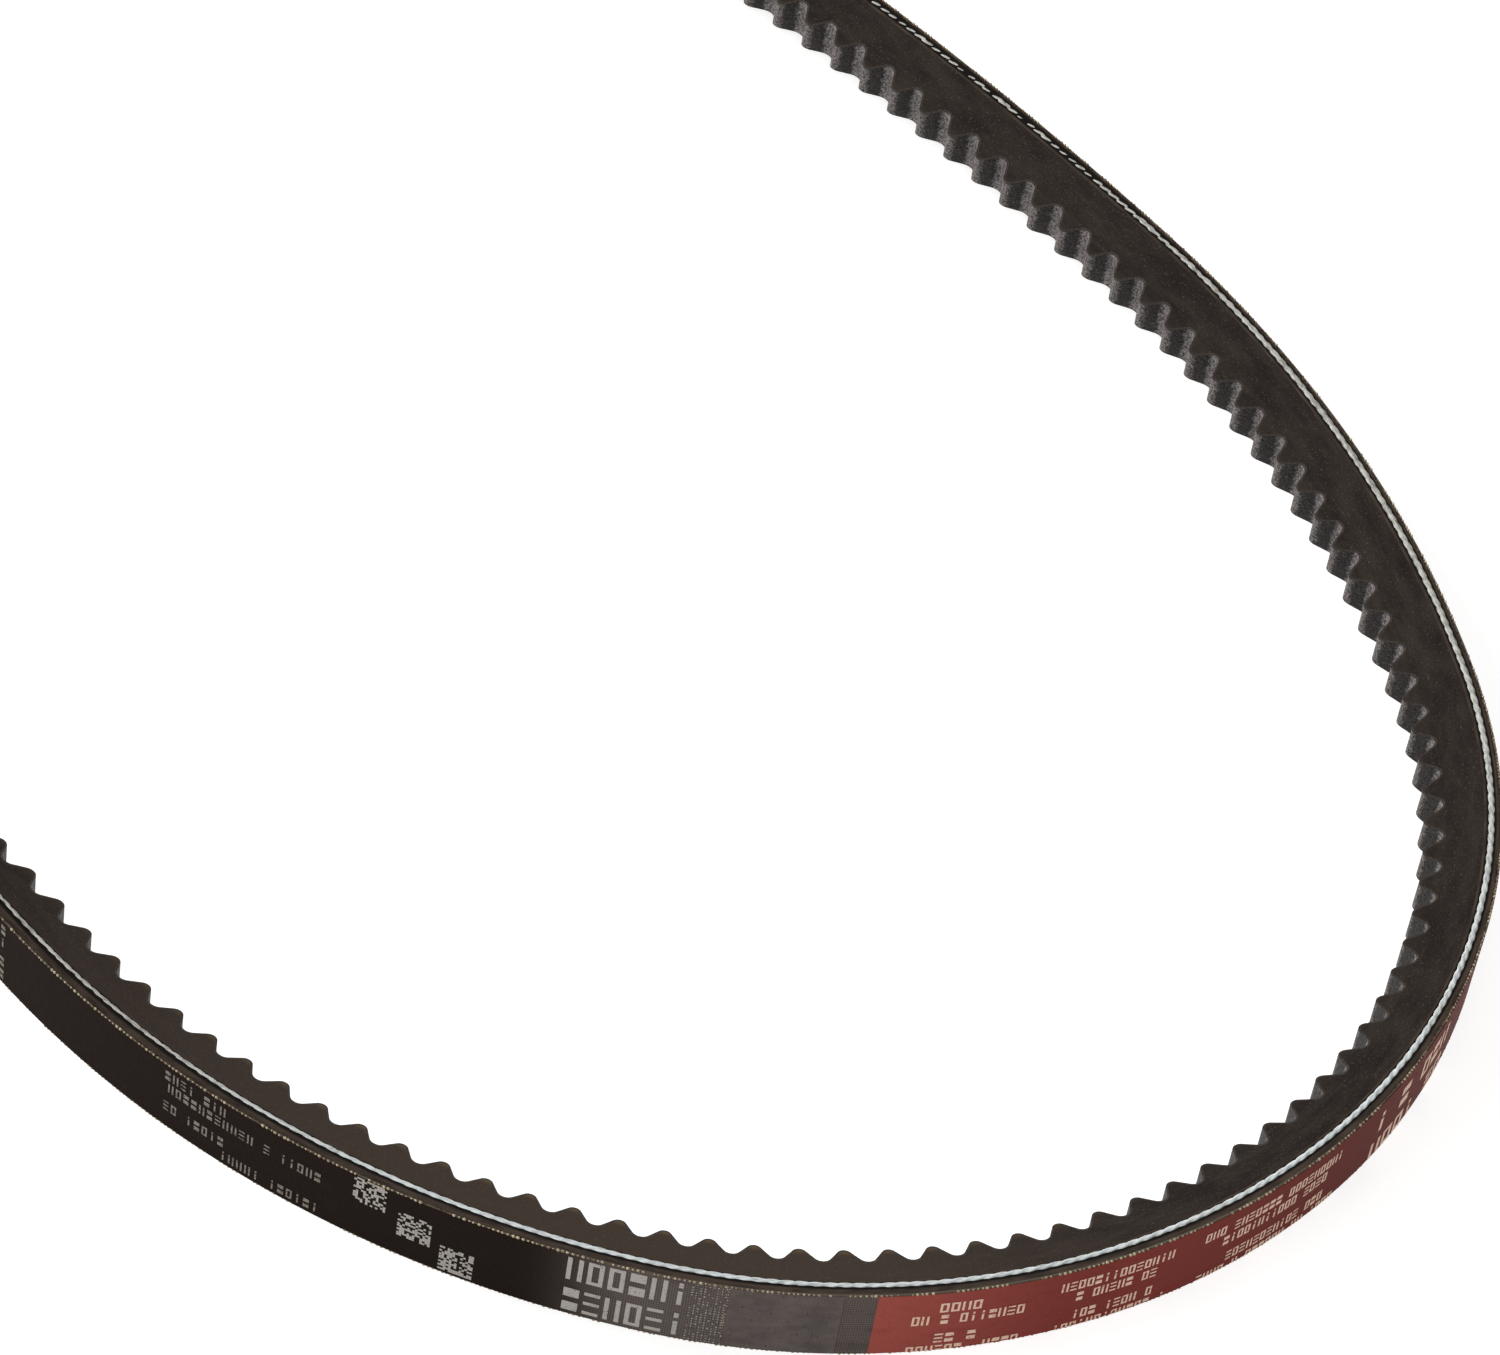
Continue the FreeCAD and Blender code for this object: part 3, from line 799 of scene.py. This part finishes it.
facing = {"thickness": 0.4 * mm, "shadedFlank": ("#1b1817", "#383331"), "litNotch": ("#4c4746", "#8d8786"),
          "litCrown": ("#3a3634", "#7b7471"), "mottle": "#7f7875", "pit": "#151211",
          "cutEdge": "#3a312b"}


# woven nylon facing, moulded over the cogs: dark grey with a dull gloss, with painted light on
# the notches and crowns and painted shade on the flanks, mottled, with small pits
def makeFacingMaterial():
    material, tree, shader, place = newMaterial("mouldedNylonFacing", 0.55, Specular_IOR_Level=0.2)
    parts = addNode(tree, "ShaderNodeSeparateXYZ", links={0: place}).outputs
    cloth = mottling(tree, place, (0.42, 0.42, 0.42), 1.0)
    patches = mottling(tree, place, (1.4, 1.4, 1.2), 5.0, 0.8)
    pits = mottling(tree, place, (0.55, 0.55, 0.55), 2.0)
    depth = addNode(tree, "ShaderNodeMath", {"operation": "MULTIPLY_ADD"},
                    {0: patches, 1: 2.4, 2: parts[1]}).outputs[0]
    # painted light and shade: notches palest and crowns paler as lit faces, flanks darkest as shaded
    shadedFlank, litNotch, litCrown = [shadeBetween(tree, cloth, *facing[part], 0.35, 0.65)
                           for part in ("shadedFlank", "litNotch", "litCrown")]
    crowned = shadeBetween(tree, depth, litCrown, shadedFlank, -12.2, -11.4)
    toned = shadeBetween(tree, depth, crowned, litNotch, -9.8, -9.1)
    mottled = shadeBetween(tree, patches, toned, facing["mottle"], 0.58, 0.78)
    pitted = shadeBetween(tree, pits, facing["pit"], mottled, 0.3, 0.4)
    ragged = addNode(tree, "ShaderNodeMath", {"operation": "MULTIPLY_ADD"},
                     {0: pits, 1: -0.5, 2: insetOf(tree, place)}).outputs[0]
    colour = shadeBetween(tree, ragged, facing["cutEdge"], pitted, -0.3, 0.1)
    both = addNode(tree, "ShaderNodeMath", {"operation": "MULTIPLY_ADD"},
                   {0: pits, 1: 2.0, 2: patches}).outputs[0]
    finishMaterial(tree, shader, colour, both, 0.22 * mm, 0.9)
    return material


cogs = {"count": 190, "firstTip": 4.5 * mm, "notchDepth": 3.4 * mm, "tipRadius": 1.5 * mm,
        "valleyShare": 0.21, "arcSteps": 8}


# line of one cog, from valley floor to valley floor, as (run, depth), set back by skin
def cogLine(skin):
    pitch = beltLength / cogs["count"]
    tipRadius, valleyRadius = cogs["tipRadius"], cogs["valleyShare"] * pitch
    tip = Vector((0, loop["thickness"] - tipRadius))
    valley = Vector((pitch / 2, loop["thickness"] - cogs["notchDepth"] + valleyRadius))
    across = valley - tip
    lean = math.acos((tipRadius + valleyRadius) / across.length)
    along = across.normalized()
    normal = along * math.cos(lean) + Vector((-along.y, along.x)) * math.sin(lean)
    flankTurn = math.atan2(normal.x, normal.y)
    steps = cogs["arcSteps"]
    half = []
    for index in range(steps // 2 + 1):
        turn = flankTurn * index / (steps // 2)
        half.append(tip + Vector((math.sin(turn), math.cos(turn))) * (tipRadius - skin))
    foot = []
    for index in range(steps // 2 + 1):
        turn = flankTurn * (1 - index / (steps // 2))
        foot.append(valley - Vector((math.sin(turn), math.cos(turn))) * (valleyRadius + skin))
    half += [(half[-1] + foot[0]) / 2] + foot
    return [Vector((-point.x, point.y)) for point in reversed(half[1:])] + half


def makeCogs():
    pitch = beltLength / cogs["count"]
    start, calm = layers["cord"] + layers["cushion"], layers["calm"]
    outer, inner = cogLine(0.0), cogLine(facing["thickness"])
    body, skin = [], []
    for (run, depth), (skinRun, skinDepth) in zip(inner, outer):
        body.append([(run, start, lowSide(start)), (run, calm, lowSide(calm)),
                     (run, depth, lowSide(depth)), (run, depth, highSide(depth)),
                     (run, calm, highSide(calm)), (run, start, highSide(start))])
        skin.append([(run, depth, lowSide(depth)), (skinRun, skinDepth, lowSide(skinDepth)),
                     (skinRun, skinDepth, beltWidth * 0.42), (skinRun, skinDepth, beltWidth * 0.58),
                     (skinRun, skinDepth, highSide(skinDepth)), (run, depth, highSide(depth))])
    for name, sections, material, slot, node in (
            ("compressionRubber", body, makeRubberMaterial(), "fibre_rubber",
             "compression_rubber"),
            ("cogFacing", skin, makeFacingMaterial(), "cog_facing", "cog_facing_fabric")):
        growPiece(name, sweptMesh(sections, False), repeatTree, material, slot, [node], 40,
                  count=cogs["count"], pitch=pitch, firstRun=cogs["firstTip"])


makeCogs()


def bandMesh(span, top, bottom, margin):
    first, last = span
    steps = max(1, round((last - first) / cellPitch))
    sections = []
    for index in range(steps + 1):
        run = first + (last - first) * index / steps
        sections.append([(run, top, margin), (run, bottom, margin),
                         (run, bottom, beltWidth - margin), (run, top, beltWidth - margin)])
    return sweptMesh(sections, True)


# spans in metres; the red film is painted darker towards its start, painted shade where the back
# turns from the light
films = {"thickness": 0.08 * mm, "margin": 0.2 * mm,
         "redSpan": (346.5 * mm, 547.8 * mm), "greySpan": (553.5 * mm, 572.6 * mm),
         "reds": ("#5c221b", "#7b322b", "#a05047"), "redShadeRuns": (440.0, 505.0, 556.0),
         "redCrowns": "#a2554c", "redClouds": "#742721", "redFlecks": "#5b1d1b",
         "greys": ("#4c4340", "#605652"), "greyCrowns": "#6b615d", "greyFlecks": "#231d1b"}


# heat-transfer film pressed into the canvas: brick red, satin, with the weave showing through
def makeRedMaterial():
    material, tree, shader, place = newMaterial("brickRedTransferFilm", 0.55,
                                                Specular_IOR_Level=0.025)
    threads = biasWeave(tree, place)
    clouds = mottling(tree, place, (8.0, 8.0, 3.0), 4.0)
    flecks = mottling(tree, place, (0.45, 0.45, 0.45), 2.0)
    run = addNode(tree, "ShaderNodeSeparateXYZ", links={0: place}).outputs[0]
    reds, runs = films["reds"], films["redShadeRuns"]
    # painted shade: the red is darker towards the start of its run and brighter near its end
    turning = shadeBetween(tree, run, reds[0], reds[1], runs[0], runs[1])
    film = shadeBetween(tree, run, turning, reds[2], runs[1], runs[2])
    woven = shadeBetween(tree, threads, film, films["redCrowns"], 0.4, 1.8)
    clouded = shadeBetween(tree, clouds, woven, films["redClouds"], 0.5, 0.9)
    colour = shadeBetween(tree, flecks, clouded, films["redFlecks"], 0.62, 0.8)
    finishMaterial(tree, shader, colour, threads, 0.05 * mm, 0.45)
    return material


# the same kind of film in grey, thinner, with a few dark pinholes
def makeGreyFilmMaterial():
    material, tree, shader, place = newMaterial("greyTransferFilm", 0.5, Specular_IOR_Level=0.08)
    threads = biasWeave(tree, place)
    clouds = mottling(tree, place, (5.0, 5.0, 3.0), 4.0)
    flecks = mottling(tree, place, (0.5, 0.5, 0.5), 1.0)
    film = shadeBetween(tree, clouds, *films["greys"], 0.3, 0.7)
    woven = shadeBetween(tree, threads, film, films["greyCrowns"], 0.4, 1.6)
    colour = shadeBetween(tree, flecks, woven, films["greyFlecks"], 0.68, 0.74)
    finishMaterial(tree, shader, colour, threads, 0.04 * mm, 0.35)
    return material


def makeFilms():
    for name, span, material, slot, node in (
            ("redLabelFilm", films["redSpan"], makeRedMaterial(), "red_film", "red_label_band"),
            ("greyLabelFilm", films["greySpan"], makeGreyFilmMaterial(), "grey_film",
             "grey_label_band")):
        growPiece(name, bandMesh(span, -films["thickness"], 0.0, films["margin"]), repeatTree,
                  material, slot, [node])


makeFilms()


# screen-printed ink, thin and worn, so the canvas shows through in specks
def makeInkMaterial(name, pale, worn, wear):
    material, tree, shader, place = newMaterial(name, 0.6, Specular_IOR_Level=0.12)
    specks = mottling(tree, place, (0.4, 0.4, 0.4), 3.0)
    patches = mottling(tree, place, (4.0, 4.0, 2.0), 2.0)
    wearing = addNode(tree, "ShaderNodeMath", {"operation": "MULTIPLY_ADD"},
                      {0: patches, 1: 0.4, 2: specks}).outputs[0]
    colour = shadeBetween(tree, wearing, pale, worn, wear, wear + 0.12)
    finishMaterial(tree, shader, colour, specks, 0.02 * mm, 0.4)
    return material


creamInk = makeInkMaterial("creamTransferInk", "#e6c3ad", "#a8604f", 0.78)
greyInk = makeInkMaterial("greyTransferInk", "#aaa59e", "#5d5750", 0.78)
fadedInk = makeInkMaterial("fadedTransferInk", "#7d786e", "#3d362f", 0.7)


# bars of one abstract mark, none of them a letter, as (run, height, run, height)
def markBars(kind, w, h, s):
    return {
        "frame": [(0, 0, w, s), (0, h - s, w, h), (0, s, s, h - s), (w - s, s, w, h - s)],
        "rails": [(0, 0, s, h), (w - s, 0, w, h)],
        "rungs": [(0, 0, w, s), (0, (h - s) / 2, w, (h + s) / 2), (0, h - s, w, h)],
        "pair": [(0, 0, w, h * 0.38), (0, h * 0.62, w, h)],
        "post": [((w - s) / 2, 0, (w + s) / 2, h * 0.62), ((w - s) / 2, h * 0.78, (w + s) / 2, h)],
    }[kind]


# a line of such marks, all between two runs, cut off at the edges of the back
def markRow(span, bottom, size, seed, spaces):
    height, width, gap, stroke = size
    chooser = random.Random(seed)
    plates = []
    run = span[0]
    low, high = marks["margin"], beltWidth / mm - marks["margin"]
    while run + width <= span[1] + 0.01:
        if chooser.random() >= spaces or run == span[0]:
            kind = chooser.choice(marks["kinds"])
            for x0, z0, x1, z1 in markBars(kind, width, height, stroke):
                z0, z1 = max(low, z0 + bottom), min(high, z1 + bottom)
                if z1 - z0 > marks["thinnest"]:
                    corners = [(run + x0, z0), (run + x1, z0), (run + x1, z1), (run + x0, z1)]
                    plates.append([(x * mm, z * mm) for x, z in corners])
        run += width + gap
    return plates


# in mm; a print is (height, mark width, gap, stroke), and a line is (print, bottom, start, end)
marks = {
    "kinds": ["frame", "rails", "rungs", "pair", "post", "frame"],
    "margin": 0.2, "thinnest": 0.05, "ink": 0.04 * mm, "spaces": 0.14,
    "prints": {"head": (2.4, 1.5, 0.42, 0.42), "under": (2.4, 1.3, 0.38, 0.38),
               "body": (2.3, 1.2, 0.38, 0.36), "broad": (4.2, 3.1, 0.9, 0.85),
               "tall": (5.2, 3.1, 0.9, 0.85), "size": (5.8, 2.75, 0.85, 0.8),
               "fine": (2.2, 1.15, 0.55, 0.33)},
    "legendLower": [("head", 2.3, 529.5, 536.8), ("under", -0.9, 521.5, 542.1),
                    ("body", 2.3, 496.5, 513.0), ("body", -0.9, 493.4, 516.5),
                    ("body", 2.3, 457.5, 483.5), ("body", -0.9, 454.0, 488.0),
                    ("broad", 0.2, 416.0, 446.5)],
    "legendUpper": [("head", 10.6, 529.5, 536.8), ("under", 7.4, 521.5, 542.1),
                    ("body", 10.6, 493.4, 516.5), ("body", 7.3, 496.5, 513.0),
                    ("body", 10.6, 454.0, 488.0), ("body", 7.3, 457.5, 483.5),
                    ("tall", 7.2, 416.0, 446.5)],
    "sizeLower": [("size", 1.1, 579.4, 600.4)],
    "sizeUpper": [("size", 9.2, 579.4, 600.4)],
    "fineLower": [("fine", 1.1, 645.0, 665.0), ("fine", 4.3, 664.5, 679.0),
                  ("fine", 1.1, 718.5, 740.0), ("fine", 4.3, 718.5, 740.0)],
    "fineUpper": [("fine", 9.2, 645.0, 677.6), ("fine", 12.2, 664.5, 679.0),
                  ("fine", 9.2, 718.5, 740.0), ("fine", 12.4, 718.5, 740.0)],
}


def makeMarks():
    film = films["thickness"]
    rows = (("legendRow_lower", "legendLower", film, creamInk, "cream_ink", "legend_row_lower"),
            ("legendRow_upper", "legendUpper", film, creamInk, "cream_ink", "legend_row_upper"),
            ("sizeMarkRow_lower", "sizeLower", 0.0, greyInk, "grey_ink", "size_mark_row_lower"),
            ("sizeMarkRow_upper", "sizeUpper", 0.0, greyInk, "grey_ink", "size_mark_row_upper"),
            ("finePrintRow_lower", "fineLower", 0.0, fadedInk, "grey_ink", "fine_print_row_lower"),
            ("finePrintRow_upper", "fineUpper", 0.0, fadedInk, "grey_ink", "fine_print_row_upper"))
    for seed, (name, row, base, ink, slot, node) in enumerate(rows):
        spaces = 0.0 if "size" in row else marks["spaces"]
        plates = []
        for line, (kind, bottom, start, end) in enumerate(marks[row]):
            plates += markRow((start, end), bottom, marks["prints"][kind], 20 * seed + line,
                              spaces)
        growPiece(name, plateMesh(plates, base + marks["ink"], base), repeatTree, ink, slot,
                  [node])


makeMarks()

codes = {"side": 6.2 * mm, "blocks": 13, "spots": [(616.0, 0.8), (624.0, 5.2), (632.6, 9.3)],
         "fill": 0.94, "leftOut": 0.45, "smallest": 0.97}
dots = {"span": (573.0 * mm, 579.0 * mm), "across": 9, "up": 22, "size": 0.34 * mm,
        "corners": 6, "leftOut": 0.25, "smallest": 0.55}
seam = {"run": 572.8 * mm, "count": 21, "size": 0.42 * mm, "leftOut": 0.12, "smallest": 0.6}


# square block codes, the dotted patch beside the grey film and the thread ends of the seam there
def makeGrids():
    side, ink = codes["side"], marks["ink"]
    half = side / codes["blocks"] * codes["fill"] / 2
    reach = side * (1 - 1 / codes["blocks"])
    for index, (run, floor) in enumerate(codes["spots"]):
        block = plateMesh([[(-half, -half), (half, -half), (half, half), (-half, half)]], ink, 0.0)
        growPiece("codeSquare_%d" % (index + 1), block, gridTree, greyInk, "grey_ink",
                  ["code_square_%d" % (index + 1)], across=codes["blocks"], up=codes["blocks"],
                  length=reach, height=reach, leftOut=codes["leftOut"],
                  smallest=codes["smallest"], seed=index + 3,
                  middle=(run * mm + side / 2, 0.0, floor * mm + side / 2))
    first, last = dots["span"]
    radius = dots["size"] / 2
    angles = [2 * math.pi * corner / dots["corners"] for corner in range(dots["corners"])]
    dot = plateMesh([[(math.cos(a) * radius, math.sin(a) * radius) for a in angles]], ink, 0.0)
    growPiece("halftonePatch", dot, gridTree, greyInk, "grey_ink", ["hatch_patch"],
              across=dots["across"], up=dots["up"], length=last - first - dots["size"],
              height=beltWidth - 4 * dots["size"], leftOut=dots["leftOut"],
              smallest=dots["smallest"], seed=11,
              middle=((first + last) / 2, 0.0, beltWidth / 2))
    stitch = bpy.data.meshes.new("stitch")
    shape = bmesh.new()
    bmesh.ops.create_icosphere(shape, subdivisions=1, radius=seam["size"] / 2)
    shape.to_mesh(stitch)
    shape.free()
    growPiece("seamStitchEnds", stitch, gridTree, threadMaterial, "back_canvas", (), 60,
              across=1, up=seam["count"], length=0.0, height=beltWidth - 2 * seam["size"],
              leftOut=seam["leftOut"], smallest=seam["smallest"], seed=17,
              middle=(seam["run"], 0.0, beltWidth / 2))


makeGrids()


stage = {"floorSize": 8.0, "paper": "#c8c8c6", "floorGlow": 0.8, "room": "#fafafa",
         "roomGlow": 0.18}


def makeStage():
    scene = bpy.context.scene
    material = bpy.data.materials.new("paleStudioPaper")
    material.use_nodes = True
    shader = material.node_tree.nodes["Principled BSDF"]
    shader.inputs["Base Color"].default_value = linear(stage["paper"])
    shader.inputs["Roughness"].default_value = 0.9
    shader.inputs["Emission Color"].default_value = linear("#ffffff")
    shader.inputs["Emission Strength"].default_value = stage["floorGlow"]
    half = stage["floorSize"] / 2
    mesh = bpy.data.meshes.new("studioFloor")
    mesh.from_pydata([(-half, -half, 0), (half, -half, 0), (half, half, 0), (-half, half, 0)],
                     [], [(0, 1, 2, 3)])
    mesh.materials.append(material)
    floor = bpy.data.objects.new("studioFloor", mesh)
    scene.collection.objects.link(floor)

    world = bpy.data.worlds.new("softRoom")
    scene.world = world
    world.use_nodes = True
    backdrop = world.node_tree.nodes["Background"]
    backdrop.inputs["Color"].default_value = linear(stage["room"])
    backdrop.inputs["Strength"].default_value = stage["roomGlow"]
    scene.view_settings.view_transform = "Standard"


# soft boxes: azimuth and elevation in degrees seen from the loop, distance and side in metres,
# and watts
lights = {
    "keyLeft": (-158, 34, 1.7, 0.8, 26),
    "softFront": (-100, 28, 1.7, 1.0, 8.5),
    "overhead": (70, 74, 1.9, 1.4, 7),
}


def makeLights():
    for name, (azimuth, elevation, distance, side, watts) in lights.items():
        lamp = bpy.data.lights.new(name, "AREA")
        lamp.shape = "SQUARE"
        lamp.size = side
        lamp.energy = watts
        box = bpy.data.objects.new(name, lamp)
        bpy.context.scene.collection.objects.link(box)
        turn, rise = math.radians(azimuth), math.radians(elevation)
        towards = Vector((math.cos(rise) * math.cos(turn), math.cos(rise) * math.sin(turn),
                          math.sin(rise)))
        box.location = towards * distance
        box.rotation_euler = towards.to_track_quat("Z", "Y").to_euler()


makeStage()
makeLights()

camera = {"aim": (0.1703, 0.0082, 0.0), "azimuth": -50.53, "elevation": 46.2, "roll": 9.849,
          "distance": 1.1422, "lens": 148.25, "sensor": 36.0}


def makeCamera():
    data = bpy.data.cameras.new("camera")
    data.lens = camera["lens"]
    data.sensor_width = camera["sensor"]
    data.sensor_fit = "HORIZONTAL"
    viewer = bpy.data.objects.new("camera", data)
    bpy.context.scene.collection.objects.link(viewer)
    turn, rise = math.radians(camera["azimuth"]), math.radians(camera["elevation"])
    back = Vector((math.cos(rise) * math.cos(turn), math.cos(rise) * math.sin(turn),
                   math.sin(rise)))
    right = Vector((-math.sin(turn), math.cos(turn), 0))
    up = back.cross(right)
    roll = math.radians(camera["roll"])
    across = right * math.cos(roll) + up * math.sin(roll)
    upright = up * math.cos(roll) - right * math.sin(roll)
    viewer.matrix_world = Matrix.Translation(Vector(camera["aim"]) + back * camera["distance"]) \
        @ Matrix((across, upright, back)).transposed().to_4x4()
    bpy.context.scene.camera = viewer


makeCamera()
bpy.data.objects.remove(beltPath)
print("stage, lights and camera set")
